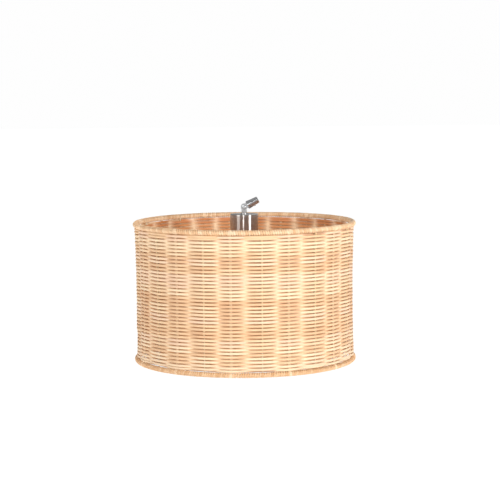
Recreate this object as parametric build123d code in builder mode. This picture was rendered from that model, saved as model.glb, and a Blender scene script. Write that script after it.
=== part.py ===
"""Woven rattan drum lamp shade on a wire frame, with the lampholder and tilting knuckle it hangs from.

Millimetres, +Z up. The origin is the middle of the shade's lower rim, at the level it stands on.
+X points to the side that the lamp's arm comes from.
"""

from build123d import *
import os
from math import cos, radians, sin, sqrt

os.makedirs("parts", exist_ok=True)

# Shade: overall size, and the bound rims that set it
shade_diameter = 380.0
shade_height = 240.0
rim_tube = 9.5  # thickness of a rim with its binding
ring_wire = 5.0  # steel ring inside a rim
ring_radius = (shade_diameter - rim_tube) / 2
rim_low = rim_tube / 2
rim_high = shade_height - rim_tube / 2

# Woven wall: its middle surface curves in a little between the rims
wall_end_radius = 184.0
wall_waist = 2.0
wall_thickness = 8.0
wall_rim_gap = 0.5
wall_low = rim_tube + wall_rim_gap
wall_high = shade_height - wall_low
wall_middle = shade_height / 2

# Uprights: double stakes alternate with single stakes, and a steel wire stands behind each single
stake_places = 12
stake_step = 360 / stake_places
first_double_angle = -97.2
first_single_angle = first_double_angle + stake_step * 0.53
double_cane = 2.2
double_spread = 1.15  # each cane of a pair, from the middle of the pair
single_cane = 2.4
single_depth = 1.0
single_lowest = 58.0
single_stagger = 7.0  # the tucked ends stop at uneven heights
upright_wire = 2.0
upright_depth = -1.25
channel_gap = 0.15
stake_short = 1.2  # uprights stop this far short of the level of a ring's middle

# Spider: bent wire arms from the top ring to the fitter ring
arm_count = 3
first_arm_angle = 90.0
arm_wire = 4.0
arm_leg_radius = 175.2
arm_bend = 7.0
arm_top_bend = 4.2
fitter_top = 189.0
fitter_thickness = 2.0
fitter_radius = 31.0
fitter_hole = 20.6

# Cup over the lampholder
cup_top = shade_height + 11.0
cup_bottom = fitter_top + 0.3
cup_radius = 24.1
cup_wall = 1.0
cup_plate = 1.2
cup_edge = 1.5

# Lampholder for an E27 lamp, hung on a hollow M10 stud
stud_radius = 5.0
stud_length = 18.0
stud_bore = 3.2
thread_gap = 0.03
locknut_height = 3.4
locknut_radius = 8.2
cap_top = 244.0
cap_bottom = 216.0
cap_shoulder = 232.0
cap_radius = 19.0
cap_wall = 2.0
boss_radius = 9.0
boss_height = 8.0
skirt_radius = 19.6
skirt_bore = 16.4
skirt_bottom = 172.0
lip_height = 2.0
shell_radius = 13.3
shell_wall = 0.6
shell_top = 197.0
inside_gap = 0.1
block_bottom = 200.8
block_top = 209.0
block_rim = 1.5
leaf_thickness = 0.5
leaf_drop = 2.6
leaf_width = 5.0
terminal_reach = 8.0
terminal_radius = 1.4
terminal_head = 2.6
terminal_height = 1.6

# Shade ring, which screws up the lampholder's skirt and holds the fitter ring
shade_ring_gap = 0.2
flange_radius = 27.0
flange_height = 2.0
grip_radius = 22.8
grip_height = 7.0
grip_notches = 16
notch_radius = 1.8

# Knuckle between the cup and the arm
pivot_height = cup_top + 11.6
eye_radius = 5.75
tongue_thickness = 4.0
washer_gap = 0.05
washer_thickness = 0.25
slot_half = tongue_thickness / 2 + washer_gap + washer_thickness
cheek_thickness = 2.6
cheek_out = slot_half + cheek_thickness
collar_radius = 5.7
collar_height = 2.0
neck_radius = 4.6
slot_floor = pivot_height - eye_radius - 0.5
pin_radius = 2.0
pin_gap = 0.05
pin_reach = 2.0
head_radius = 3.6
head_height = 2.0
nut_height = 2.6

# Sleeve that takes the end of the arm
arm_angle = 28.0
sleeve_start = 6.2
sleeve_end = 27.0
sleeve_radius = 7.2
sleeve_edge = 0.6
socket_radius = 5.0
socket_length = 14.0
spigot_radius = 3.0
set_screw_radius = 1.5
set_screw_place = sleeve_end - 8.5
set_screw_length = 2.4

double_angles = [first_double_angle + stake_step * i for i in range(stake_places)]
single_angles = [first_single_angle + stake_step * i for i in range(stake_places)]
arm_angles = [first_arm_angle + 360 / arm_count * i for i in range(arm_count)]

pivot = Vector(0, 0, pivot_height)
arm_axis = Vector(cos(radians(arm_angle)), 0, sin(radians(arm_angle)))
arm_side = Plane(origin=pivot, x_dir=arm_axis, z_dir=(0, -1, 0))  # x along the arm, y above it


def finish(piece, name):
    """Labels a finished piece and writes it as the node of that name."""
    piece.part.label = name
    export_step(piece.part, f"parts/{name}.step")


def upright_plane(angle, side=0.0):
    """The upright plane through the axis at an angle, moved sideways: x outwards, y up."""
    out = Vector(cos(radians(angle)), sin(radians(angle)), 0)
    sideways = Vector(-out.Y, out.X, 0)
    return Plane(origin=sideways * side, x_dir=out, z_dir=out.cross(Vector(0, 0, 1)))


def wall_radius(height):
    """Radius of the middle of the wall, one long arc that is narrowest at half height."""
    half_span = (wall_high - wall_low) / 2
    arc_radius = (half_span**2 + wall_waist**2) / (2 * wall_waist)
    rise = arc_radius - sqrt(arc_radius**2 - (height - wall_middle) ** 2)
    return wall_end_radius - wall_waist + rise


def wall_rod(angle, radius, depth=0.0, side=0.0, low=rim_low + stake_short, high=rim_high - stake_short):
    """A round rod that stands in the wall, follows its curve and runs up into the top rim."""
    heights = (low, (low + high) / 2, high)
    with BuildPart() as rod:
        with BuildLine(upright_plane(angle, side)) as path:
            ThreePointArc(*[(wall_radius(z) + depth, z) for z in heights])
        with BuildSketch(Plane(origin=path.line @ 0, z_dir=path.line % 0)):
            Circle(radius)
        sweep()
    return rod.part


def double_rods(angle, gap=0.0):
    """The two canes of a double stake, side by side."""
    sides = (-double_spread, double_spread)
    return [wall_rod(angle, double_cane / 2 + gap, side=side) for side in sides]


def single_rod(index, gap=0.0):
    """A single stake, whose lower end is tucked in well above the bottom rim."""
    low = single_lowest + single_stagger * ((index * 5) % 4 - 1.5) - gap
    return wall_rod(single_angles[index], single_cane / 2 + gap, depth=single_depth, low=low)


def upright_rod(angle, gap=0.0):
    """The steel wire behind a single stake, which ends at the two rings."""
    ends = {"low": rim_low + ring_wire / 2 - gap, "high": rim_high - ring_wire / 2 + gap}
    return wall_rod(angle, upright_wire / 2 + gap, depth=upright_depth, **ends)


def stake(rods):
    """Rods with their ends hollowed to sit against both ring wires."""
    with BuildPart() as piece:
        add(rods)
        with Locations((0, 0, rim_low), (0, 0, rim_high)):
            Torus(ring_radius, ring_wire / 2, mode=Mode.SUBTRACT)
    return piece


def ring(height):
    """A steel ring wire."""
    with BuildPart() as piece:
        with Locations((0, 0, height)):
            Torus(ring_radius, ring_wire / 2)
    return piece


def arm_rod(angle, gap=0.0):
    """A wire that drops from the top ring inside the wall, then runs in to the fitter ring."""
    level = fitter_top - fitter_thickness / 2
    with BuildPart() as rod:
        with BuildLine(upright_plane(angle)) as path:
            FilletPolyline(
                (ring_radius - ring_wire / 4, rim_high),
                (arm_leg_radius, rim_high),
                (arm_leg_radius, level),
                (fitter_radius - 1, level),
                radius=[arm_top_bend, arm_bend],
            )
        with BuildSketch(Plane(origin=path.line @ 0, z_dir=path.line % 0)):
            Circle(arm_wire / 2 + gap)
        sweep()
    return rod.part


def spider_arm(angle):
    """A spider arm, its ends hollowed to the top ring and the fitter ring."""
    with BuildPart() as piece:
        add(arm_rod(angle))
        with Locations((0, 0, rim_high)):
            Torus(ring_radius, ring_wire / 2, mode=Mode.SUBTRACT)
        with Locations((0, 0, fitter_top)):
            Cylinder(fitter_radius, 4 * arm_wire, mode=Mode.SUBTRACT)
    return piece


def binding(height, channels):
    """The cane wrapped round a ring wire, as a hollow ring with a hole for each upright."""
    with BuildPart() as piece:
        with Locations((0, 0, height)):
            Torus(ring_radius, rim_tube / 2)
            Torus(ring_radius, ring_wire / 2 + channel_gap, mode=Mode.SUBTRACT)
        add(channels, mode=Mode.SUBTRACT)
    return piece


def turned(outline, axis=Axis.Z, plane=Plane.XZ):
    """A piece turned from its half outline."""
    with BuildPart() as piece:
        with BuildSketch(plane):
            with BuildLine():
                Polyline(*outline, close=True)
            make_face()
        revolve(axis=axis)
    return piece


# Wire frame of the shade
finish(ring(rim_low), "bottom_ring")
finish(ring(rim_high), "top_ring")

with BuildPart() as frame_uprights:
    add([upright_rod(angle) for angle in single_angles])
finish(frame_uprights, "frame_uprights")

for number, angle in enumerate(arm_angles, 1):
    finish(spider_arm(angle), f"spider_arm_{number}")

with BuildPart() as fitter_ring:
    with BuildSketch(Plane.XY.offset(fitter_top - fitter_thickness)):
        Circle(fitter_radius)
        Circle(fitter_hole, mode=Mode.SUBTRACT)
    extrude(amount=fitter_thickness)
finish(fitter_ring, "fitter_ring")

# Stakes
for number, angle in enumerate(double_angles, 1):
    finish(stake(double_rods(angle)), f"stake_pair_{number:02}")

for index in range(stake_places):
    finish(stake([single_rod(index)]), f"stake_single_{index + 1:02}")

# Channels, a little wider than the uprights that stand in them
stake_channels = [rod for angle in double_angles for rod in double_rods(angle, channel_gap)]
stake_channels += [single_rod(index, channel_gap) for index in range(stake_places)]
stake_channels += [upright_rod(angle, channel_gap) for angle in single_angles]
arm_channels = [arm_rod(angle, channel_gap) for angle in arm_angles]

# Woven wall: one closed wall of the weave's outer shape
with BuildPart() as woven_wall:
    with BuildSketch(Plane.XZ):
        with BuildLine():
            heights = (wall_low, wall_middle, wall_high)
            half = wall_thickness / 2
            inner = ThreePointArc(*[(wall_radius(z) - half, z) for z in heights])
            outer = ThreePointArc(*[(wall_radius(z) + half, z) for z in heights])
            Line(inner @ 0, outer @ 0)
            Line(inner @ 1, outer @ 1)
        make_face()
    revolve(axis=Axis.Z)
    add(stake_channels, mode=Mode.SUBTRACT)
finish(woven_wall, "woven_wall")

finish(binding(rim_low, stake_channels), "bottom_binding")
finish(binding(rim_high, stake_channels + arm_channels), "top_binding")

# Cup, a spun shell that is open below
with BuildPart() as cup:
    with BuildSketch(Plane.XY.offset(cup_bottom)):
        Circle(cup_radius)
    extrude(amount=cup_top - cup_bottom)
    fillet(cup.edges().group_by(Axis.Z)[-1], cup_edge)
    with BuildSketch(Plane.XY.offset(cup_bottom)):
        Circle(cup_radius - cup_wall)
    extrude(amount=cup_top - cup_bottom - cup_plate, mode=Mode.SUBTRACT)
    with BuildSketch(Plane.XY.offset(cup_top)):
        Circle(stud_radius + thread_gap)
    extrude(amount=-2 * cup_plate, mode=Mode.SUBTRACT)
finish(cup, "cup")

with BuildPart() as cup_locknut:
    with BuildSketch(Plane.XY.offset(cup_top - cup_plate - locknut_height)):
        RegularPolygon(locknut_radius, 6)
        Circle(stud_radius + thread_gap, mode=Mode.SUBTRACT)
    extrude(amount=locknut_height)
finish(cup_locknut, "cup_locknut")

# Lampholder
holder_cap = turned([
    (stud_radius + thread_gap, cap_top),
    (boss_radius, cap_top),
    (boss_radius, cap_top - boss_height + cap_wall),
    (cap_radius, cap_shoulder),
    (cap_radius, cap_bottom),
    (cap_radius - cap_wall, cap_bottom),
    (cap_radius - cap_wall, cap_shoulder - cap_wall / 2),
    (boss_radius, cap_top - boss_height),
    (stud_radius + thread_gap, cap_top - boss_height),
])
finish(holder_cap, "holder_cap")

lip_radius = shell_radius + shell_wall / 2
holder_skirt = turned([
    (lip_radius, skirt_bottom),
    (skirt_radius, skirt_bottom),
    (skirt_radius, cap_bottom),
    (skirt_bore, cap_bottom),
    (skirt_bore, skirt_bottom + lip_height),
    (lip_radius, skirt_bottom + lip_height),
])
finish(holder_skirt, "holder_skirt")

screw_shell = turned([
    (shell_radius, skirt_bottom + lip_height),
    (shell_radius + shell_wall, skirt_bottom + lip_height),
    (shell_radius + shell_wall, shell_top - shell_wall),
    (skirt_bore - inside_gap, shell_top - shell_wall),
    (skirt_bore - inside_gap, shell_top),
    (shell_radius, shell_top),
])
finish(screw_shell, "screw_shell")

with BuildPart() as contact_block:
    with BuildSketch(Plane.XY.offset(shell_top)):
        Circle(skirt_bore - inside_gap)
    extrude(amount=block_top - shell_top)
    with BuildSketch(Plane.XY.offset(shell_top)):
        Circle(skirt_bore - inside_gap - block_rim)
    extrude(amount=block_bottom - shell_top, mode=Mode.SUBTRACT)
    with BuildSketch(Plane.XY.offset(block_top)):
        with Locations((-terminal_reach, 0), (terminal_reach, 0)):
            Circle(terminal_radius + inside_gap)
    extrude(amount=-6, mode=Mode.SUBTRACT)
finish(contact_block, "contact_block")

with BuildPart() as centre_contact:
    with BuildSketch(Plane.XZ):
        with BuildLine():
            Polyline(
                (-10, block_bottom),
                (-4, block_bottom),
                (0, block_bottom - leaf_drop),
                (3, block_bottom - leaf_drop),
                (3, block_bottom - leaf_drop - leaf_thickness),
                (-0.3, block_bottom - leaf_drop - leaf_thickness),
                (-4.3, block_bottom - leaf_thickness),
                (-10, block_bottom - leaf_thickness),
                close=True,
            )
        make_face()
    extrude(amount=leaf_width / 2, both=True)
finish(centre_contact, "centre_contact")

with BuildPart() as terminal_screws:
    with Locations((-terminal_reach, 0, block_top), (terminal_reach, 0, block_top)):
        Cylinder(terminal_head, terminal_height, align=(Align.CENTER, Align.CENTER, Align.MIN))
        Cylinder(terminal_radius, 5, align=(Align.CENTER, Align.CENTER, Align.MAX))
    with Locations(
        (-terminal_reach, 0, block_top + terminal_height),
        (terminal_reach, 0, block_top + terminal_height),
    ):
        Box(3 * terminal_head, 0.6, terminal_height, mode=Mode.SUBTRACT)
finish(terminal_screws, "terminal_screws")

# Shade ring: a flange under the fitter ring, and a notched grip
with BuildPart() as shade_ring:
    with BuildSketch(Plane.XY.offset(fitter_top - fitter_thickness)):
        Circle(flange_radius)
        Circle(skirt_radius + shade_ring_gap, mode=Mode.SUBTRACT)
    extrude(amount=-flange_height)
    with BuildSketch(Plane.XY.offset(fitter_top - fitter_thickness - flange_height)):
        Circle(grip_radius)
        with PolarLocations(grip_radius + notch_radius / 2, grip_notches):
            Circle(notch_radius, mode=Mode.SUBTRACT)
        Circle(skirt_radius + shade_ring_gap, mode=Mode.SUBTRACT)
    extrude(amount=-grip_height)
finish(shade_ring, "shade_ring")

# Knuckle: a fork on the cup, with the hollow stud that carries the lampholder below it
with BuildPart() as knuckle_fork:
    with BuildSketch(Plane.XY.offset(cup_top - stud_length)):
        Circle(stud_radius)
    extrude(amount=stud_length)
    with BuildSketch(Plane.XY.offset(cup_top)):
        Circle(collar_radius)
    extrude(amount=collar_height)
    with BuildSketch(Plane.XY.offset(cup_top + collar_height)):
        Circle(neck_radius)
    extrude(amount=slot_floor - cup_top - collar_height)
    with BuildSketch(Plane.XZ):
        with Locations((0, pivot_height)):
            Circle(eye_radius)
        with Locations((0, (pivot_height + slot_floor - 1) / 2)):
            Rectangle(2 * neck_radius, pivot_height - slot_floor + 1)
        with Locations((0, pivot_height)):
            Circle(pin_radius + pin_gap / 2, mode=Mode.SUBTRACT)
    extrude(amount=cheek_out, both=True)
    with BuildSketch(Plane.XY.offset(slot_floor)):
        Rectangle(4 * eye_radius, 2 * slot_half)
    extrude(amount=3 * eye_radius, mode=Mode.SUBTRACT)
    with BuildSketch(Plane.XY.offset(cup_top - stud_length)):
        Circle(stud_bore)
    extrude(amount=slot_floor - cup_top + stud_length, mode=Mode.SUBTRACT)
finish(knuckle_fork, "knuckle_fork")

with BuildPart() as pivot_screw:
    with BuildSketch(Plane.XZ):
        with Locations((0, pivot_height)):
            Circle(pin_radius)
    extrude(amount=cheek_out + pin_reach, both=True)
    with BuildSketch(Plane.XZ.offset(cheek_out)):
        with Locations((0, pivot_height)):
            Circle(head_radius)
    extrude(amount=head_height)
    fillet(pivot_screw.edges().group_by(Axis.Y)[0], head_height * 0.6)
finish(pivot_screw, "pivot_screw")

with BuildPart() as pivot_nut:
    with BuildSketch(Plane.XZ.offset(-cheek_out)):
        with Locations((0, pivot_height)):
            RegularPolygon(head_radius, 6)
    extrude(amount=-nut_height)
    fillet(pivot_nut.edges().group_by(Axis.Y)[-1], nut_height * 0.3)
    with BuildSketch(Plane.XZ.offset(-cheek_out)):
        with Locations((0, pivot_height)):
            Circle(pin_radius + thread_gap)
    extrude(amount=-pin_reach - 0.1, mode=Mode.SUBTRACT)
finish(pivot_nut, "pivot_nut")

with BuildPart() as friction_washers:
    for face in (tongue_thickness / 2 + washer_gap, -slot_half):
        with BuildSketch(Plane.XZ.offset(face)):
            with Locations((0, pivot_height)):
                Circle(eye_radius - 0.5)
                Circle(pin_radius + pin_gap, mode=Mode.SUBTRACT)
        extrude(amount=washer_thickness)
finish(friction_washers, "friction_washers")

# Tongue between the cheeks, with a spigot that is pressed into the sleeve
with BuildPart() as knuckle_tongue:
    with BuildSketch(arm_side):
        Circle(eye_radius)
        with Locations((sleeve_start / 2, 0)):
            Rectangle(sleeve_start, 2 * eye_radius - 2)
        Circle(pin_radius + pin_gap, mode=Mode.SUBTRACT)
    extrude(amount=tongue_thickness / 2, both=True)
    with BuildSketch(Plane(origin=pivot + arm_axis * sleeve_start, z_dir=arm_axis)):
        Circle(spigot_radius)
    extrude(amount=sleeve_end - socket_length - sleeve_start)
finish(knuckle_tongue, "knuckle_tongue")

# Sleeve, with a blind socket for the arm's end and a set screw below it
under_sleeve = Plane(origin=pivot + arm_axis * set_screw_place, z_dir=-arm_side.y_dir)
with BuildPart() as arm_sleeve:
    with BuildSketch(arm_side):
        with BuildLine():
            Polyline(
                (sleeve_start, spigot_radius + thread_gap),
                (sleeve_start, sleeve_radius - sleeve_edge),
                (sleeve_start + sleeve_edge, sleeve_radius),
                (sleeve_end, socket_radius + sleeve_edge),
                (sleeve_end, socket_radius),
                (sleeve_end - socket_length, socket_radius),
                (sleeve_end - socket_length, spigot_radius + thread_gap),
                close=True,
            )
        make_face()
    revolve(axis=Axis(pivot, arm_axis))
    with BuildSketch(under_sleeve):
        Circle(set_screw_radius + thread_gap)
    extrude(amount=2 * sleeve_radius, mode=Mode.SUBTRACT)
finish(arm_sleeve, "arm_sleeve")

with BuildPart() as set_screw:
    with BuildSketch(under_sleeve.offset(socket_radius + inside_gap)):
        Circle(set_screw_radius)
    extrude(amount=set_screw_length)
    with BuildSketch(under_sleeve.offset(socket_radius + inside_gap + set_screw_length)):
        RegularPolygon(set_screw_radius / 2, 6)
    extrude(amount=-set_screw_length / 2, mode=Mode.SUBTRACT)
finish(set_screw, "set_screw")
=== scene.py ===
import math
import bpy
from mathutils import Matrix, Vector


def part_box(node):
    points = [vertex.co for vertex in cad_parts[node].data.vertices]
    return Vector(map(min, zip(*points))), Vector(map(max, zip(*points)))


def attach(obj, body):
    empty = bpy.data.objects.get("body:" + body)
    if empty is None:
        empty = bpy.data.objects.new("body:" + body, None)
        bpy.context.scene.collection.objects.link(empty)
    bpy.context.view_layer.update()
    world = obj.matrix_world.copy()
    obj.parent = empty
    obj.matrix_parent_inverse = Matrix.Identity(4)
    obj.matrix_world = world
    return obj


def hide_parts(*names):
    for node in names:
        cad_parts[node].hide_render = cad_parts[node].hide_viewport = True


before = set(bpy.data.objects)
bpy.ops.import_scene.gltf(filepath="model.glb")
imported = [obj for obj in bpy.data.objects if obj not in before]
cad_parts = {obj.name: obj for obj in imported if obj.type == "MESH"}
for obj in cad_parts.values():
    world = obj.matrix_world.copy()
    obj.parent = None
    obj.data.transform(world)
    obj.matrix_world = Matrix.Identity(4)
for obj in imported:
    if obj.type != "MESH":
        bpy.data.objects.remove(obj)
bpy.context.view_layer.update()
print("frame loaded:", len(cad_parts), "nodes")

# The camera stands level with the lamp's arm and looks slightly down on the shade
shot = {"target": (0, 0, 0.12), "distance": 2.8, "elevation": 7.3, "roll": -0.5,
        "lens": 117.6, "shiftX": 0.0104, "shiftY": 0.08}


def lookAt(thing, place, target, roll=0.0):
    thing.location = place
    thing.rotation_euler = (Vector(target) - Vector(place)).to_track_quat("-Z", "Y").to_euler()
    thing.rotation_euler.rotate_axis("Z", math.radians(roll))


def placeCamera(shot):
    camera = bpy.data.objects.new("camera", bpy.data.cameras.new("camera"))
    bpy.context.scene.collection.objects.link(camera)
    camera.data.lens = shot["lens"]
    camera.data.shift_x = shot["shiftX"]
    camera.data.shift_y = shot["shiftY"]
    tilt = math.radians(shot["elevation"])
    away = Vector((0, -math.cos(tilt), math.sin(tilt))) * shot["distance"]
    lookAt(camera, Vector(shot["target"]) + away, shot["target"], shot["roll"])
    bpy.context.scene.camera = camera


placeCamera(shot)

# Node helpers, for geometry and materials alike


def linearColour(code):
    channels = [int(code[place:place + 2], 16) / 255 for place in (0, 2, 4)]
    return (*[c / 12.92 if c <= 0.04045 else ((c + 0.055) / 1.055) ** 2.4 for c in channels], 1)


def openSocket(sockets, key):
    usable = [socket for socket in sockets if socket.enabled]
    return usable[key] if isinstance(key, int) else next(s for s in usable if s.name == key)


def addNode(tree, kind, inputs=None, stops=(), **settings):
    # an input is a plain value, a node (its first output) or (node, output)
    node = tree.nodes.new(kind)
    for name, value in settings.items():
        setattr(node, name, value)
    for number, (place, code) in enumerate(stops):
        elements = node.color_ramp.elements
        stop = elements[number] if number < 2 else elements.new(place)
        stop.position, stop.color = place, linearColour(code)
    for key, value in (inputs or {}).items():
        if isinstance(value, bpy.types.Node):
            value = (value, 0)
        if isinstance(value, tuple) and isinstance(value[0], bpy.types.Node):
            tree.links.new(openSocket(value[0].outputs, value[1]), openSocket(node.inputs, key))
        else:
            openSocket(node.inputs, key).default_value = value
    return node


def newTree(name, sizes, baseMesh=False):
    # one named input for each entry of the sizes
    kinds = {int: "NodeSocketInt", float: "NodeSocketFloat", bpy.types.Material: "NodeSocketMaterial"}
    tree = bpy.data.node_groups.new(name, "GeometryNodeTree")
    if baseMesh:
        tree.interface.new_socket("Base", in_out="INPUT", socket_type="NodeSocketGeometry")
    for label, value in sizes.items():
        tree.interface.new_socket(label, in_out="INPUT", socket_type=kinds[type(value)])
    tree.interface.new_socket("Geometry", in_out="OUTPUT", socket_type="NodeSocketGeometry")
    return tree, tree.nodes.new("NodeGroupInput")


def growPiece(name, tree, sizes, base=None):
    piece = bpy.data.objects.new(name, base or bpy.data.meshes.new(name))
    bpy.context.scene.collection.objects.link(piece)
    modifier = piece.modifiers.new("grow", "NODES")
    modifier.node_group = tree
    for socket in tree.interface.items_tree:
        if socket.in_out == "INPUT" and socket.name in sizes:
            modifier[socket.identifier] = sizes[socket.name]
    evaluated = bpy.context.evaluated_depsgraph_get()
    mesh = bpy.data.meshes.new_from_object(piece.evaluated_get(evaluated), depsgraph=evaluated,
                                           preserve_all_data_layers=True)
    piece.modifiers.clear()
    piece.data = mesh
    mesh.name = name
    print("grown:", name, len(mesh.polygons), "faces")
    return piece


def newMaterial(name, shaderInputs):
    material = bpy.data.materials.new(name)
    material.use_nodes = True
    tree = material.node_tree
    shader = tree.nodes["Principled BSDF"]
    for key, value in shaderInputs.items():
        shader.inputs[key].default_value = value
    return material, tree, shader


# Materials


def rattanMaterial(name, look, upright=False):
    # cane has long fibres, so every strand is streaked along its length, and strands differ in tone
    material, tree, shader = newMaterial(name, look["shader"])
    spot = addNode(tree, "ShaderNodeTexCoord")
    fine = 1 / look["fibreWidth"]
    along = 1 / look["fibreLength"]
    if upright:  # the fibres stand along Z, and the tone belongs to the stake
        fibrePlace = addNode(tree, "ShaderNodeVectorMath", {0: (spot, "Object"), 1: (fine, fine, along)},
                             operation="MULTIPLY")
        stakePlace = addNode(tree, "ShaderNodeVectorMath", {0: (spot, "Object"), 1: look["toneScale"]},
                             operation="MULTIPLY")
        noise = addNode(tree, "ShaderNodeTexNoise", {"Vector": stakePlace, "Scale": 1.0, "Detail": 1.0})
        tone = (noise, 0)
    else:  # the strand carries its length, section and tone
        length = addNode(tree, "ShaderNodeAttribute", attribute_name="caneLength")
        section = addNode(tree, "ShaderNodeAttribute", attribute_name="caneSection")
        tone = (addNode(tree, "ShaderNodeAttribute", attribute_name="caneTone"), "Fac")
        run = addNode(tree, "ShaderNodeMath", {0: (length, "Fac"), 1: along}, operation="MULTIPLY")
        runPlace = addNode(tree, "ShaderNodeCombineXYZ", {"Z": run})
        fibrePlace = addNode(tree, "ShaderNodeVectorMath",
                             {0: (section, "Vector"), 1: (fine, fine, fine), 2: runPlace},
                             operation="MULTIPLY_ADD")
    fibre = addNode(tree, "ShaderNodeTexNoise", {"Vector": fibrePlace, "Scale": 1.0, "Detail": 3.0})
    patch = addNode(tree, "ShaderNodeTexNoise", {"Vector": (spot, "Object"), "Scale": 1 / look["patch"],
                                                 "Detail": 2.0, "Roughness": 0.6})
    patchShare = addNode(tree, "ShaderNodeMath", {0: patch, 1: look["patchShare"], 2: tone},
                         operation="MULTIPLY_ADD")
    # the noise seldom leaves 0.3 to 0.7
    lowest, highest = (look["patchShare"] * noiseEnd for noiseEnd in (0.3, 0.7))
    level = addNode(tree, "ShaderNodeMapRange",
                    {"Value": patchShare, "From Min": lowest, "From Max": 1 + highest})
    colour = addNode(tree, "ShaderNodeValToRGB", {"Fac": level}, stops=look["tones"])
    streak = addNode(tree, "ShaderNodeValToRGB", {"Fac": fibre}, stops=look["streaks"])
    mixed = addNode(tree, "ShaderNodeMix", {"Factor": look["streakDepth"], "A": colour, "B": streak},
                    data_type="RGBA", blend_type="MULTIPLY")
    if "paintedShadeColour" in look:  # painted shade: the cane is darkened where it runs deep inside the wall, most on its side that faces into the drum, in place of the shade there
        depth = addNode(tree, "ShaderNodeAttribute", attribute_name="caneDepth")
        inside = addNode(tree, "ShaderNodeMapRange", {
            "Value": (depth, "Fac"), "From Min": look["shadeFromDepth"], "From Max": look["fullShadeDepth"]},
            interpolation_type="SMOOTHSTEP")
        across = addNode(tree, "ShaderNodeVectorMath", {0: (spot, "Object"), 1: (1, 1, 0)},
                         operation="MULTIPLY")
        outward = addNode(tree, "ShaderNodeVectorMath", {0: across}, operation="NORMALIZE")
        # 1 on the side of a cane that faces out of the drum, and -1 on the side that faces in
        facing = addNode(tree, "ShaderNodeVectorMath", {0: (spot, "Normal"), 1: outward},
                         operation="DOT_PRODUCT")
        shaded = addNode(tree, "ShaderNodeMapRange", {
            "Value": facing, "From Min": 0.5, "From Max": -0.5, "To Min": look["outwardShadeShare"]})
        paintedShade = addNode(tree, "ShaderNodeMath", {0: inside, 1: shaded}, operation="MULTIPLY")
        mixed = addNode(tree, "ShaderNodeMix", {"Factor": paintedShade, "A": (mixed, "Result"),
                                                "B": linearColour(look["paintedShadeColour"])},
                        data_type="RGBA", blend_type="MULTIPLY")
    gloss = addNode(tree, "ShaderNodeMapRange", {"Value": fibre, "To Min": look["roughness"][0],
                                                 "To Max": look["roughness"][1]})
    relief = addNode(tree, "ShaderNodeBump", {"Height": fibre, "Strength": 0.7,
                                              "Distance": look["relief"]})
    tree.links.new(mixed.outputs[2], shader.inputs["Base Color"])
    tree.links.new(gloss.outputs[0], shader.inputs["Roughness"])
    tree.links.new(relief.outputs[0], shader.inputs["Normal"])
    return material


def grainedMaterial(name, look):
    # one colour with a second worked into it by a grain of a real size, and a fine relief
    material, tree, shader = newMaterial(name, look["shader"])
    spot = addNode(tree, "ShaderNodeTexCoord")
    place = addNode(tree, "ShaderNodeVectorMath",
                    {0: (spot, "Object"), 1: tuple(1 / size for size in look["grain"])},
                    operation="MULTIPLY")
    grain = addNode(tree, "ShaderNodeTexNoise", {"Vector": place, "Scale": 1.0, "Detail": 3.0})
    colour = addNode(tree, "ShaderNodeValToRGB", {"Fac": grain}, stops=look["colours"])
    gloss = addNode(tree, "ShaderNodeMapRange", {"Value": grain, "To Min": look["roughness"][0],
                                                 "To Max": look["roughness"][1]})
    relief = addNode(tree, "ShaderNodeBump", {"Height": grain, "Strength": 0.5,
                                              "Distance": look["relief"]})
    tree.links.new(colour.outputs[0], shader.inputs["Base Color"])
    tree.links.new(gloss.outputs[0], shader.inputs["Roughness"])
    tree.links.new(relief.outputs[0], shader.inputs["Normal"])
    if look.get("turned"):  # lathe marks run round Z, and draw reflections out along it
        tangent = addNode(tree, "ShaderNodeTangent", direction_type="RADIAL", axis="Z")
        tree.links.new(tangent.outputs[0], shader.inputs["Tangent"])
    return material


# Rattan core, drawn through a die and unvarnished: pale straw, with pinker and browner strands.
# Its pores are 0.1 mm wide, drawn 0.35 mm wide so that they show.
rattanCore = rattanMaterial("rattanCore", {
    "fibreWidth": 0.00035, "fibreLength": 0.012, "patch": 0.045, "patchShare": 0.5,
    "tones": [(0.0, "D8AA80"), (0.3, "E6C39B"), (0.65, "EED3B0"), (1.0, "E7C3A5")],
    "streaks": [(0.3, "C89F70"), (0.6, "FFFFFF")], "streakDepth": 0.3,
    # painted shade: strands darken towards the inside of the wall and on their inward side
    "paintedShadeColour": "DBA981", "shadeFromDepth": 0.0002, "fullShadeDepth": -0.0024,
    "outwardShadeShare": 0.4,  # of the painted shade, on the side of a cane that faces out
    "roughness": (0.42, 0.62), "relief": 0.00006,
    "shader": {"Specular IOR Level": 0.45, "IOR": 1.5}})
# Peeled cane wound round the rims keeps a little of its skin: yellower and glossier
peeledCane = rattanMaterial("peeledCane", {
    "fibreWidth": 0.0004, "fibreLength": 0.010, "patch": 0.06, "patchShare": 0.4,
    "tones": [(0.0, "CE9B68"), (0.35, "DFB488"), (0.7, "E9C69E"), (1.0, "F6DBBA")],
    "streaks": [(0.3, "B98C5A"), (0.6, "FFFFFF")], "streakDepth": 0.35,
    "roughness": (0.36, 0.55), "relief": 0.00005,
    "shader": {"Specular IOR Level": 0.5, "IOR": 1.5}})
# The same cane standing upright as single stakes
stakeCane = rattanMaterial("stakeCane", {
    "fibreWidth": 0.0004, "fibreLength": 0.012, "patch": 0.03, "patchShare": 0.3,
    "tones": [(0.0, "DDB47C"), (0.4, "EED1A0"), (0.7, "F5E0B8"), (1.0, "F8E6C4")],
    "streaks": [(0.3, "C09664"), (0.6, "FFFFFF")], "streakDepth": 0.35,
    "toneScale": (60, 60, 1.5),  # so tone changes from stake to stake, and slowly up each one
    "roughness": (0.40, 0.58), "relief": 0.00005,
    "shader": {"Specular IOR Level": 0.5, "IOR": 1.5}}, upright=True)
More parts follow.
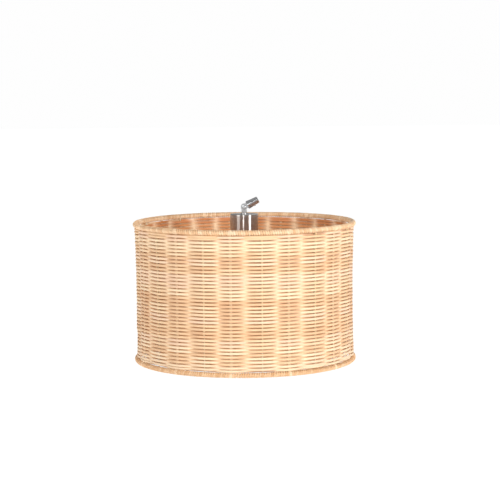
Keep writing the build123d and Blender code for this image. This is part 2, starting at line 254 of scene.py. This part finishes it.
# Steel wire, powder coated in cream: an even satin film with a slight orange peel
coatedWire = grainedMaterial("creamCoatedWire", {
    "grain": (0.0012, 0.0012, 0.0012), "colours": [(0.3, "E6D5B4"), (0.7, "EFE2C6")],
    "roughness": (0.38, 0.5), "relief": 0.00003, "shader": {"IOR": 1.5}})
# Brass cup, spun, polished and chromed: lathe marks draw the lights out into upright streaks
turnedChrome = grainedMaterial("turnedChrome", {
    "grain": (0.02, 0.02, 0.0004), "colours": [(0.3, "AFA9A5"), (0.7, "C6C1BC")],
    "roughness": (0.19, 0.22), "relief": 0.0000003, "turned": True,
    "shader": {"Metallic": 1.0, "Anisotropic": 1.0, "Anisotropic Rotation": 0.25}})
# Cast knuckle and screws, barrel polished and chromed: mirror bright with faint smudges
polishedChrome = grainedMaterial("polishedChrome", {
    "grain": (0.003, 0.003, 0.003), "colours": [(0.3, "ADAEB0"), (0.7, "C6C7C8")],
    "roughness": (0.06, 0.16), "relief": 0.00001, "shader": {"Metallic": 1.0}})
# Moulded thermoset of the lampholder: slightly warm white, satin, with a faint flow mottle
mouldedThermoset = grainedMaterial("mouldedThermoset", {
    "grain": (0.0018, 0.0018, 0.004), "colours": [(0.3, "E9E5DA"), (0.7, "F4F2EA")],
    "roughness": (0.28, 0.4), "relief": 0.00002, "shader": {"IOR": 1.52}})
# Steatite, dry pressed and fired: matt, off white and finely specked
pressedSteatite = grainedMaterial("pressedSteatite", {
    "grain": (0.0005, 0.0005, 0.0005), "colours": [(0.35, "CFC7B4"), (0.55, "E8E2D4")],
    "roughness": (0.5, 0.7), "relief": 0.00003, "shader": {"IOR": 1.6}})
# Brass sheet, rolled and pressed: fine lines one way, slightly dulled
rolledBrass = grainedMaterial("rolledBrass", {
    "grain": (0.0004, 0.008, 0.0004), "colours": [(0.3, "B8913F"), (0.7, "D9B565")],
    "roughness": (0.22, 0.38), "relief": 0.000008, "shader": {"Metallic": 1.0}})
# Bright zinc plate on steel: cool grey with a cloudy spangle
zincPlate = grainedMaterial("brightZincPlate", {
    "grain": (0.0015, 0.0015, 0.0015), "colours": [(0.3, "A9AEB3"), (0.7, "CCD0D2")],
    "roughness": (0.25, 0.42), "relief": 0.00001, "shader": {"Metallic": 1.0}})
# Nylon washer, stamped from sheet: milky, with light going a little way in
nylonSheet = grainedMaterial("nylonSheet", {
    "grain": (0.002, 0.002, 0.002), "colours": [(0.3, "E2DDCF"), (0.7, "EFECE2")],
    "roughness": (0.4, 0.52), "relief": 0.00001,
    "shader": {"IOR": 1.53, "Subsurface Weight": 0.2, "Subsurface Scale": 0.001}})

finishes = {
    coatedWire: ["top_ring", "bottom_ring", "frame_uprights", "fitter_ring"]
    + [f"spider_arm_{number}" for number in (1, 2, 3)],
    stakeCane: [f"stake_single_{number:02}" for number in range(1, 13)],
    turnedChrome: ["cup"],
    polishedChrome: ["knuckle_fork", "knuckle_tongue", "arm_sleeve",
                     "pivot_screw", "pivot_nut", "set_screw"],
    mouldedThermoset: ["holder_cap", "holder_skirt", "shade_ring"],
    pressedSteatite: ["contact_block"],
    rolledBrass: ["screw_shell", "centre_contact", "terminal_screws"],
    zincPlate: ["cup_locknut"],
    nylonSheet: ["friction_washers"],
}
for material, names in finishes.items():
    for name in names:
        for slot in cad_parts[name].material_slots:
            slot.material = material
print("finishes on the frame's own parts")

# The shade's shape, from the frame
wallLow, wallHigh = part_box("woven_wall")
ringLow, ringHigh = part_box("bottom_ring")
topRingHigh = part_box("top_ring")[1]
ringWire = ringHigh.z - ringLow.z
wallThickness = 0.008
shade = {
    "middle": (wallLow.z + wallHigh.z) / 2,
    "halfSpan": (wallHigh.z - wallLow.z) / 2,
    "endRadius": wallHigh.x - wallThickness / 2,
    "waist": 0.002,  # the wall is this much narrower at half height
    "ringRadius": ringHigh.x - ringWire / 2,
    "lowRing": ringLow.z + ringWire / 2,
    "highRing": topRingHigh.z - ringWire / 2,
    "stakes": 12,  # places for double stakes, with a single stake between each two
    "firstAngle": -97.2,  # degrees, of the first double stake
    "singleShare": 0.53,  # a single stands just past half way to the next double
}
stakeStep = math.radians(360 / shade["stakes"])

# Weaver canes: two strands wind up side by side, one over the doubles, the other over the singles
rows = {"turns": 37, "lowMargin": 0.0012, "highMargin": 0.0014}  # margins from the wall's ends
rows["lowest"] = wallLow.z + rows["lowMargin"]
rows["highest"] = wallHigh.z - rows["highMargin"]
weaver = {
    "Turns": rows["turns"] + 1,  # half a turn at each end lies flat along the rim
    "Places": 2 * shade["stakes"], "Start Place": 15, "Origin": 27.0, "Smoothness": 10,
    "First Angle": math.radians(shade["firstAngle"]), "Step": stakeStep,
    "Single Share": shade["singleShare"],
    "Rise": (rows["highest"] - rows["lowest"]) / rows["turns"],  # for one turn, two canes high
    "Lowest": rows["lowest"], "Highest": rows["highest"],
    "Middle": shade["middle"], "Half Span": shade["halfSpan"],
    "Waist Radius": shade["endRadius"] - shade["waist"], "Waist": shade["waist"],
    "Cane Radius": 0.00208, "Flatness": 0.46,  # pulled tight, the cane lies flat on the stakes
    "At Doubles": 0.0021, "At Singles": -0.0032, "Below Singles": -0.0032,
    "Tucked Middle": 0.058, "Tucked Step": 0.007, "Tucked Blend": 0.004,
    "Wander": 0.00015, "Sway": 0.0005, "Sway Scale": 9.0,
    "Strand": 2.6,  # metres of cane before the next is joined on
    "Sides": 8, "Seed": 3, "Tone Seed": 13, "Cane": rattanCore,
}


def weaverTree(sizes):
    tree, given = newTree("weaverCane", sizes)
    controls = addNode(tree, "ShaderNodeMath", {0: (given, "Turns"), 1: (given, "Places"), 2: 1.0},
                       operation="MULTIPLY_ADD")
    line = addNode(tree, "GeometryNodeMeshLine", {"Count": controls})
    curve = addNode(tree, "GeometryNodeMeshToCurve", {"Mesh": line})
    index = addNode(tree, "GeometryNodeInputIndex")
    # place round the shade: even at a double, odd at a single
    place = addNode(tree, "ShaderNodeMath", {0: index, 1: (given, "Start Place")}, operation="ADD")
    odd = addNode(tree, "ShaderNodeMath", {0: place, 1: 2.0}, operation="MODULO")
    half = addNode(tree, "ShaderNodeMath", {0: place, 1: 2.0}, operation="DIVIDE")
    pair = addNode(tree, "ShaderNodeMath", {0: half}, operation="FLOOR")
    steps = addNode(tree, "ShaderNodeMath", {0: odd, 1: (given, "Single Share"), 2: pair},
                    operation="MULTIPLY_ADD")
    angle = addNode(tree, "ShaderNodeMath", {0: steps, 1: (given, "Step"), 2: (given, "First Angle")},
                    operation="MULTIPLY_ADD")
    # height: a steady spiral that lies flat along each rim at its ends
    since = addNode(tree, "ShaderNodeMath", {0: place, 1: (given, "Origin")}, operation="SUBTRACT")
    turn = addNode(tree, "ShaderNodeMath", {0: since, 1: (given, "Places")}, operation="DIVIDE")
    spiral = addNode(tree, "ShaderNodeMath", {0: turn, 1: (given, "Rise"), 2: (given, "Lowest")},
                     operation="MULTIPLY_ADD")
    height = addNode(tree, "ShaderNodeClamp",
                     {"Value": spiral, "Min": (given, "Lowest"), "Max": (given, "Highest")})
    # the wall's radius at this height
    above = addNode(tree, "ShaderNodeMath", {0: height, 1: (given, "Middle")}, operation="SUBTRACT")
    share = addNode(tree, "ShaderNodeMath", {0: above, 1: (given, "Half Span")}, operation="DIVIDE")
    squared = addNode(tree, "ShaderNodeMath", {0: share, 1: share}, operation="MULTIPLY")
    wall = addNode(tree, "ShaderNodeMath", {0: squared, 1: (given, "Waist"), 2: (given, "Waist Radius")},
                   operation="MULTIPLY_ADD")
    # a single stake's tucked end: four heights, 0 to 3, centred on 1.5
    single = addNode(tree, "ShaderNodeMath", {0: pair, 1: float(shade["stakes"])}, operation="MODULO")
    five = addNode(tree, "ShaderNodeMath", {0: single, 1: 5.0}, operation="MULTIPLY")
    four = addNode(tree, "ShaderNodeMath", {0: five, 1: 4.0}, operation="MODULO")
    centred = addNode(tree, "ShaderNodeMath", {0: four, 1: 1.5}, operation="SUBTRACT")
    tucked = addNode(tree, "ShaderNodeMath",
                     {0: centred, 1: (given, "Tucked Step"), 2: (given, "Tucked Middle")},
                     operation="MULTIPLY_ADD")
    under = addNode(tree, "ShaderNodeMath", {0: tucked, 1: (given, "Tucked Blend")}, operation="SUBTRACT")
    over = addNode(tree, "ShaderNodeMath", {0: tucked, 1: (given, "Tucked Blend")}, operation="ADD")
    reached = addNode(tree, "ShaderNodeMapRange", {"Value": height, "From Min": under, "From Max": over},
                      interpolation_type="SMOOTHSTEP")
    singleDepth = addNode(tree, "ShaderNodeMix",
                          {"Factor": reached, "A": (given, "Below Singles"), "B": (given, "At Singles")})
    depth = addNode(tree, "ShaderNodeMix", {"Factor": odd, "A": (given, "At Doubles"), "B": singleDepth})
    radius = addNode(tree, "ShaderNodeMath", {0: wall, 1: depth}, operation="ADD")
    flat = addNode(tree, "ShaderNodeCombineXYZ", {"X": radius, "Z": height})
    turned = addNode(tree, "ShaderNodeVectorRotate", {"Vector": flat, "Angle": angle},
                     rotation_type="Z_AXIS")
    # hand work: each bend is a little off, and neighbouring rows sway together
    jolt = addNode(tree, "FunctionNodeRandomValue",
                   {"Min": (-1, -1, -1), "Max": (1, 1, 1), "Seed": (given, "Seed")},
                   data_type="FLOAT_VECTOR")
    swell = addNode(tree, "ShaderNodeTexNoise",
                    {"Vector": turned, "Scale": (given, "Sway Scale"), "Detail": 1.0})
    swing = addNode(tree, "ShaderNodeMath", {0: swell, 1: 0.5}, operation="SUBTRACT")
    rock = addNode(tree, "ShaderNodeMath", {0: swing, 1: (given, "Sway")}, operation="MULTIPLY")
    lift = addNode(tree, "ShaderNodeCombineXYZ", {"Z": rock})
    shift = addNode(tree, "ShaderNodeVectorMath", {0: jolt, "Scale": (given, "Wander")},
                    operation="SCALE")
    swayed = addNode(tree, "ShaderNodeVectorMath", {0: turned, 1: lift}, operation="ADD")
    spot = addNode(tree, "ShaderNodeVectorMath", {0: swayed, 1: shift}, operation="ADD")
    placed = addNode(tree, "GeometryNodeSetPosition", {"Geometry": curve, "Position": spot})
    deep = addNode(tree, "GeometryNodeStoreNamedAttribute",
                   {"Geometry": placed, "Name": "caneDepth", "Value": depth})
    smooth = smoothCurve(tree, given, deep)
    # a new strand is joined on every few metres, and each has its own tone
    length = addNode(tree, "GeometryNodeSplineParameter")
    strands = addNode(tree, "ShaderNodeMath", {0: (length, "Length"), 1: (given, "Strand")},
                      operation="DIVIDE")
    strand = addNode(tree, "ShaderNodeMath", {0: strands}, operation="FLOOR")
    tone = addNode(tree, "FunctionNodeRandomValue",
                   {"Min": 0.0, "Max": 1.0, "ID": strand, "Seed": (given, "Tone Seed")})
    toned = addNode(tree, "GeometryNodeStoreNamedAttribute",
                    {"Geometry": smooth, "Name": "caneTone", "Value": tone})
    closeTree(tree, given, sweepCane(tree, given, toned, True, level=True))
    return tree


def smoothCurve(tree, given, curve):
    soft = addNode(tree, "GeometryNodeCurveSplineType", {"Curve": curve}, spline_type="CATMULL_ROM")
    return addNode(tree, "GeometryNodeSetSplineResolution",
                   {"Geometry": soft, "Resolution": (given, "Smoothness")})


def sweepCane(tree, given, curve, capped, level=False):
    # the cane's skin, which keeps where each point is along and around the strand
    length = addNode(tree, "GeometryNodeSplineParameter")
    measured = addNode(tree, "GeometryNodeStoreNamedAttribute",
                       {"Geometry": curve, "Name": "caneLength", "Value": (length, "Length")})
    if level:  # the flat of the cane stays upright all the way round
        measured = addNode(tree, "GeometryNodeSetCurveNormal", {"Curve": measured}, mode="Z_UP")
    outline = addNode(tree, "GeometryNodeCurvePrimitiveCircle",
                      {"Resolution": (given, "Sides"), "Radius": (given, "Cane Radius")})
    squash = addNode(tree, "ShaderNodeCombineXYZ", {"X": (given, "Flatness"), "Y": 1.0, "Z": 1.0})
    pressed = addNode(tree, "GeometryNodeTransform", {"Geometry": outline, "Scale": squash})
    spot = addNode(tree, "GeometryNodeInputPosition")
    section = addNode(tree, "GeometryNodeStoreNamedAttribute",
                      {"Geometry": pressed, "Name": "caneSection", "Value": spot},
                      data_type="FLOAT_VECTOR")
    return addNode(tree, "GeometryNodeCurveToMesh",
                   {"Curve": measured, "Profile Curve": section, "Fill Caps": capped})


def closeTree(tree, given, mesh):
    shaded = addNode(tree, "GeometryNodeSetShadeSmooth", {"Geometry": mesh})
    whole = addNode(tree, "GeometryNodeRealizeInstances", {"Geometry": shaded})
    finished = addNode(tree, "GeometryNodeSetMaterial",
                       {"Geometry": whole, "Material": (given, "Cane")})
    addNode(tree, "NodeGroupOutput", {"Geometry": finished})


weaving = weaverTree(weaver)
weaverOne = growPiece("weaverOne", weaving, weaver)
# the second cane runs half a turn behind, and goes over where the first goes under;
# below a single's tucked end it has only the thin wire to go round
weaverTwo = growPiece("weaverTwo", weaving, {
    **weaver, "Start Place": 26, "Origin": weaver["Origin"] + shade["stakes"], "Seed": 8, "Tone Seed": 21,
    "At Doubles": -0.0026, "At Singles": 0.0031, "Below Singles": 0.0016})
for piece in (weaverOne, weaverTwo):
    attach(piece, "shade")
    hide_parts("woven_wall")
print("weave done")

# Double stakes: two canes side by side, each looped round both rings at its ends
stakeCanes = {
    "Stakes": shade["stakes"], "First Angle": math.radians(shade["firstAngle"]), "Step": stakeStep,
    "Spread": 0.00115,  # of each cane from the middle of its pair
    "Cane Radius": 0.0011, "Flatness": 1.0, "Sides": 8, "Smoothness": 4, "Seed": 5, "Cane": peeledCane,
}
stakeLoop = {"radius": 0.00365, "turn": 265, "bends": 11, "wallPoints": 6, "leave": 0.0085}


def stakeLine(shade, loop):
    # one cane in the XZ plane, from half height up round the top ring, then mirrored down
    ends = shade["highRing"] - loop["leave"]
    upper = []
    for number in range(loop["wallPoints"]):
        height = shade["middle"] + (ends - shade["middle"]) * number / (loop["wallPoints"] - 1)
        share = (height - shade["middle"]) / shade["halfSpan"]
        upper.append((shade["endRadius"] - shade["waist"] * (1 - share ** 2), 0, height))
    for number in range(loop["bends"]):
        bend = math.radians(180 - loop["turn"] * number / (loop["bends"] - 1))
        upper.append((shade["ringRadius"] + loop["radius"] * math.cos(bend), 0,
                      shade["highRing"] + loop["radius"] * math.sin(bend)))
    lower = [(x, y, 2 * shade["middle"] - z) for x, y, z in reversed(upper[1:])]
    points = lower + upper
    mesh = bpy.data.meshes.new("stakeLine")
    mesh.from_pydata(points, [(number, number + 1) for number in range(len(points) - 1)], [])
    return mesh


def stakeTree(sizes):
    tree, given = newTree("stakeCanes", sizes, baseMesh=True)
    canes = addNode(tree, "ShaderNodeMath", {0: (given, "Stakes"), 1: 2.0}, operation="MULTIPLY")
    places = addNode(tree, "GeometryNodeMeshLine", {"Count": canes})
    index = addNode(tree, "GeometryNodeInputIndex")
    half = addNode(tree, "ShaderNodeMath", {0: index, 1: 2.0}, operation="DIVIDE")
    pair = addNode(tree, "ShaderNodeMath", {0: half}, operation="FLOOR")
    angle = addNode(tree, "ShaderNodeMath", {0: pair, 1: (given, "Step"), 2: (given, "First Angle")},
                    operation="MULTIPLY_ADD")
    second = addNode(tree, "ShaderNodeMath", {0: index, 1: 2.0}, operation="MODULO")
    left = addNode(tree, "ShaderNodeMath", {0: second, 1: 0.5}, operation="SUBTRACT")
    twice = addNode(tree, "ShaderNodeMath", {0: left, 1: 2.0}, operation="MULTIPLY")
    aside = addNode(tree, "ShaderNodeMath", {0: twice, 1: (given, "Spread")}, operation="MULTIPLY")
    flat = addNode(tree, "ShaderNodeCombineXYZ", {"Y": aside})
    spot = addNode(tree, "ShaderNodeVectorRotate", {"Vector": flat, "Angle": angle},
                   rotation_type="Z_AXIS")
    placed = addNode(tree, "GeometryNodeSetPosition", {"Geometry": places, "Position": spot})
    facing = addNode(tree, "ShaderNodeCombineXYZ", {"Z": angle})
    base = addNode(tree, "GeometryNodeMeshToCurve", {"Mesh": (given, "Base")})
    cane = sweepCane(tree, given, smoothCurve(tree, given, base), True)
    copies = addNode(tree, "GeometryNodeInstanceOnPoints",
                     {"Points": placed, "Instance": cane, "Rotation": facing})
    tone = addNode(tree, "FunctionNodeRandomValue", {"Min": 0.85, "Max": 1.0, "Seed": (given, "Seed")})
    toned = addNode(tree, "GeometryNodeStoreNamedAttribute",
                    {"Geometry": copies, "Name": "caneTone", "Value": tone}, domain="INSTANCE")
    closeTree(tree, given, toned)
    return tree


doubleStakes = growPiece("doubleStakes", stakeTree(stakeCanes), stakeCanes, stakeLine(shade, stakeLoop))
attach(doubleStakes, "shade")
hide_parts(*[f"stake_pair_{number:02}" for number in range(1, shade["stakes"] + 1)])
print("stakes done")

# Rim wraps: flat cane wound close round each ring, parted where a double stake crosses
wrap = {
    "Wraps": 300, "Ring Radius": shade["ringRadius"], "Level": shade["highRing"],
    "Loop Radius": 0.0039, "Loop Points": 12, "Sides": 6, "Cane Radius": 0.0019, "Flatness": 0.4,
    "Lean": math.radians(20), "Lean Spread": math.radians(5), "Slip": 0.0001,
    "Stakes": float(shade["stakes"]), "First Angle": math.radians(shade["firstAngle"]),
    "Part": 0.0024,  # half of the gap left for a double stake
    "Tone Low": 0.3, "Tone High": 0.95,
    "Seed": 11, "Cane": peeledCane,
}


def wrapTree(sizes):
    tree, given = newTree("rimWrap", sizes)
    ring = addNode(tree, "GeometryNodeMeshLine", {"Count": (given, "Wraps")})
    index = addNode(tree, "GeometryNodeInputIndex")
    share = addNode(tree, "ShaderNodeMath", {0: index, 1: (given, "Wraps")}, operation="DIVIDE")
    angle = addNode(tree, "ShaderNodeMath", {0: share, 1: math.tau}, operation="MULTIPLY")
    flat = addNode(tree, "ShaderNodeCombineXYZ", {"X": (given, "Ring Radius"), "Z": (given, "Level")})
    spot = addNode(tree, "ShaderNodeVectorRotate", {"Vector": flat, "Angle": angle},
                   rotation_type="Z_AXIS")
    slip = addNode(tree, "FunctionNodeRandomValue",
                   {"Min": (-1, -1, -1), "Max": (1, 1, 1), "Seed": (given, "Seed")},
                   data_type="FLOAT_VECTOR")
    slid = addNode(tree, "ShaderNodeVectorMath", {0: slip, "Scale": (given, "Slip")}, operation="SCALE")
    placed = addNode(tree, "GeometryNodeSetPosition",
                     {"Geometry": ring, "Position": spot, "Offset": slid})
    # how far each wrap is from the nearest double stake, along the ring
    fromFirst = addNode(tree, "ShaderNodeMath", {0: angle, 1: (given, "First Angle")},
                        operation="SUBTRACT")
    turns = addNode(tree, "ShaderNodeMath", {0: fromFirst, 1: math.tau}, operation="DIVIDE")
    steps = addNode(tree, "ShaderNodeMath", {0: turns, 1: (given, "Stakes"), 2: 0.5},
                    operation="MULTIPLY_ADD")
    within = addNode(tree, "ShaderNodeMath", {0: steps}, operation="FRACT")
    centred = addNode(tree, "ShaderNodeMath", {0: within, 1: 0.5}, operation="SUBTRACT")
    apart = addNode(tree, "ShaderNodeMath", {0: centred}, operation="ABSOLUTE")
    around = addNode(tree, "ShaderNodeMath", {0: (given, "Ring Radius"), 1: math.tau},
                     operation="MULTIPLY")
    stepLength = addNode(tree, "ShaderNodeMath", {0: around, 1: (given, "Stakes")}, operation="DIVIDE")
    distance = addNode(tree, "ShaderNodeMath", {0: apart, 1: stepLength}, operation="MULTIPLY")
    clear = addNode(tree, "FunctionNodeCompare", {"A": distance, "B": (given, "Part")},
                    operation="GREATER_THAN")
    # one wrap is a closed loop that stands across the ring and leans along it
    circle = addNode(tree, "GeometryNodeCurvePrimitiveCircle",
                     {"Resolution": (given, "Loop Points"), "Radius": (given, "Loop Radius")})
    loop = addNode(tree, "GeometryNodeTransform",
                   {"Geometry": sweepCane(tree, given, circle, False),
                    "Rotation": (math.pi / 2, 0, 0)})
    lean = addNode(tree, "FunctionNodeRandomValue",
                   {"Min": -1.0, "Max": 1.0, "Seed": (given, "Seed")})
    leaning = addNode(tree, "ShaderNodeMath", {0: lean, 1: (given, "Lean Spread"), 2: (given, "Lean")},
                      operation="MULTIPLY_ADD")
    facing = addNode(tree, "ShaderNodeCombineXYZ", {"X": leaning, "Z": angle})
    copies = addNode(tree, "GeometryNodeInstanceOnPoints",
                     {"Points": placed, "Selection": clear, "Instance": loop, "Rotation": facing})
    tone = addNode(tree, "FunctionNodeRandomValue",
                   {"Min": (given, "Tone Low"), "Max": (given, "Tone High"), "Seed": (given, "Seed")})
    toned = addNode(tree, "GeometryNodeStoreNamedAttribute",
                    {"Geometry": copies, "Name": "caneTone", "Value": tone}, domain="INSTANCE")
    closeTree(tree, given, toned)
    return tree


wrapping = wrapTree(wrap)
topWraps = growPiece("topWraps", wrapping, wrap)
# painted shade: the bottom wraps take a darker tone range than the top wraps, so the lower rim reads
# darker
bottomWraps = growPiece("bottomWraps", wrapping, {
    **wrap, "Level": shade["lowRing"], "Lean": math.radians(-20), "Seed": 17,
    "Tone Low": 0.1, "Tone High": 0.6})
for piece, node in ((topWraps, "top_binding"), (bottomWraps, "bottom_binding")):
    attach(piece, "shade")
    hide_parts(node)
print("rims done")

# Floor, sky and lamps
studio = {
    "sky": "FFFFFF", "skyStrength": 0.34, "backdropStrength": 0.99,
    "floor": "F8F8F7", "floorHalf": 60,
    "floorLevel": -1.3,  # the shade hangs this high on its lamp
    "nearGlow": 0.62, "farGlow": 0.72, "near": 1.5, "far": 4.0,  # the floor's own light by distance
    "lamps": {  # azimuth and elevation of each soft box, its distance, width, height and power
        "keyLight": (47, 18, 3.0, 0.7, 1.7, 64), "fillLight": (-50, 24, 3.2, 1.4, 1.8, 36),
        "cupLight": (-6, 14, 3.6, 0.35, 1.4, 20), "topLight": (0, 88, 3.0, 2.5, 2.5, 4),
        "rearLight": (165, 25, 3.4, 1.6, 1.6, 7),
    },
}


def pointAround(azimuth, elevation, distance, target):
    turn, rise = math.radians(azimuth), math.radians(elevation)
    way = Vector((math.sin(turn) * math.cos(rise), -math.cos(turn) * math.cos(rise), math.sin(rise)))
    return Vector(target) + way * distance


def lightStudio(studio, target):
    world = bpy.data.worlds.new("studio")
    bpy.context.scene.world = world
    world.use_nodes = True
    sky = world.node_tree.nodes["Background"]
    sky.inputs["Color"].default_value = linearColour(studio["sky"])
    # the backdrop is brighter than the light it gives, so that polished metal keeps some contrast
    seen = addNode(world.node_tree, "ShaderNodeLightPath")
    level = addNode(world.node_tree, "ShaderNodeMapRange", {
        "Value": (seen, "Is Camera Ray"), "To Min": studio["skyStrength"],
        "To Max": studio["backdropStrength"]})
    world.node_tree.links.new(level.outputs[0], sky.inputs["Strength"])
    for name, (azimuth, elevation, distance, width, height, power) in studio["lamps"].items():
        lamp = bpy.data.objects.new(name, bpy.data.lights.new(name, "AREA"))
        bpy.context.scene.collection.objects.link(lamp)
        lamp.data.shape = "RECTANGLE"
        lamp.data.size, lamp.data.size_y = width, height
        lamp.data.energy = power
        lamp.visible_camera = False
        lookAt(lamp, pointAround(azimuth, elevation, distance, target), target)
    half = studio["floorHalf"]
    mesh = bpy.data.meshes.new("floor")
    mesh.from_pydata([(-half, -half, 0), (half, -half, 0), (half, half, 0), (-half, half, 0)], [],
                     [(0, 1, 2, 3)])
    floor = bpy.data.objects.new("floor", mesh)
    floor.location.z = studio["floorLevel"]
    bpy.context.scene.collection.objects.link(floor)
    paint, tree, shader = newMaterial("studioFloor", {
        "Base Color": linearColour(studio["floor"]), "Roughness": 0.9,
        "Emission Color": linearColour(studio["sky"])})
    spot = addNode(tree, "ShaderNodeTexCoord")
    away = addNode(tree, "ShaderNodeVectorMath", {0: (spot, "Object")}, operation="LENGTH")
    glow = addNode(tree, "ShaderNodeMapRange", {
        "Value": away, "From Min": studio["near"], "From Max": studio["far"],
        "To Min": studio["nearGlow"], "To Max": studio["farGlow"]})
    tree.links.new(glow.outputs[0], shader.inputs["Emission Strength"])
    mesh.materials.append(paint)


lightStudio(studio, shot["target"])
bpy.context.scene.view_settings.view_transform = "Standard"
print("studio lit")
